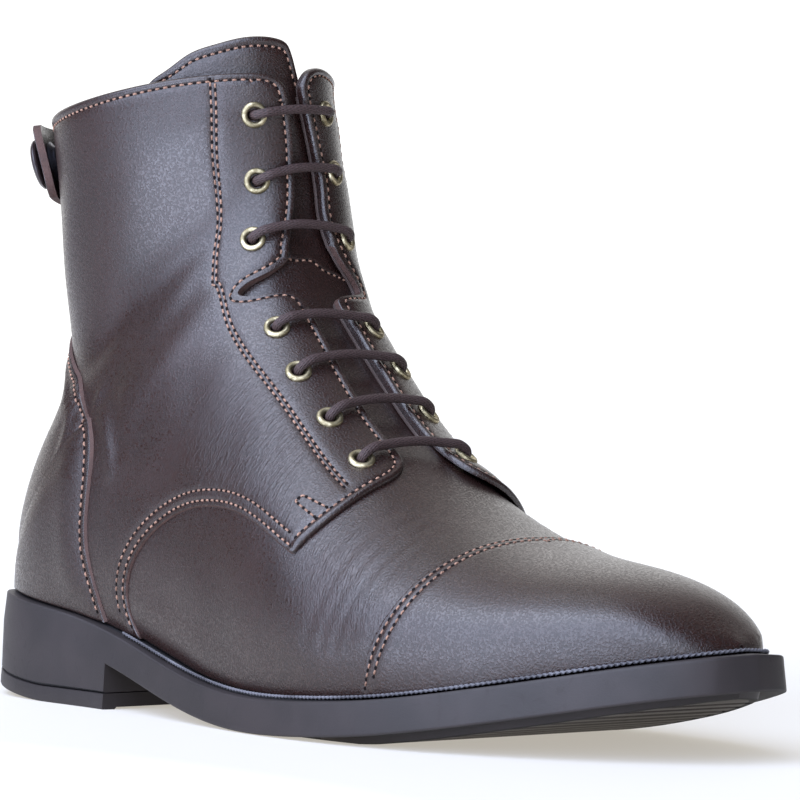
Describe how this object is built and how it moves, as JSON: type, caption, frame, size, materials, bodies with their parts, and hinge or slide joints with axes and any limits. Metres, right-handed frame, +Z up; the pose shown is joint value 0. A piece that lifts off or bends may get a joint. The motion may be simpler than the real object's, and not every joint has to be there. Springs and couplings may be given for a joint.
{
  "type": "jodhpur boot",
  "caption": "Ankle-high leather riding boot with a toe cap, laced facings with elastic bars, heel counter, back strap with a press stud, and a moulded rubber sole with a low heel.",
  "frame": {"origin": "centre of the bounding box on the floor that the sole stands on", "axes": "+X from heel to toe, +Y to the boot's left (inner side), +Z up"},
  "size_m": [0.2899, 0.0977, 0.187],
  "materials": {
    "leather": "dark brown, smooth, soft sheen",
    "vamp_leather": "dark brown, smooth, lightly creased",
    "sole_rubber": "charcoal, matt",
    "lift_rubber": "charcoal, matt",
    "welt_rubber": "black, glossy, ribbed",
    "insole_fabric": "matt lining",
    "antique_brass": "antique, dull",
    "elastic_cord": "woven, dark brown",
    "stud_cap": "dark brown, satin",
    "stud_socket": "bright"
  },
  "bodies": {
    "root": {"back_strap": "leather", "eyelet_lateral_1": "antique_brass", "eyelet_lateral_2": "antique_brass", "eyelet_lateral_3": "antique_brass", "eyelet_lateral_4": "antique_brass", "eyelet_lateral_5": "antique_brass", "eyelet_lateral_6": "antique_brass", "eyelet_lateral_7": "antique_brass", "eyelet_medial_1": "antique_brass", "eyelet_medial_2": "antique_brass", "eyelet_medial_3": "antique_brass", "eyelet_medial_4": "antique_brass", "eyelet_medial_5": "antique_brass", "eyelet_medial_6": "antique_brass", "eyelet_medial_7": "antique_brass", "heel_counter": "leather", "heel_top_lift": "lift_rubber", "insole": "insole_fabric", "lace_bar_1": "elastic_cord", "lace_bar_2": "elastic_cord", "lace_bar_3": "elastic_cord", "lace_bar_4": "elastic_cord", "lace_bar_5": "elastic_cord", "lace_bar_6": "elastic_cord", "lace_bar_7": "elastic_cord", "outsole": "sole_rubber", "quarter_lateral": "leather", "quarter_medial": "leather", "snap_cap": "stud_cap", "snap_socket": "stud_socket", "toe_cap": "leather", "tongue": "leather", "upper": "vamp_leather", "welt": "welt_rubber"}
  },
  "joints": []
}
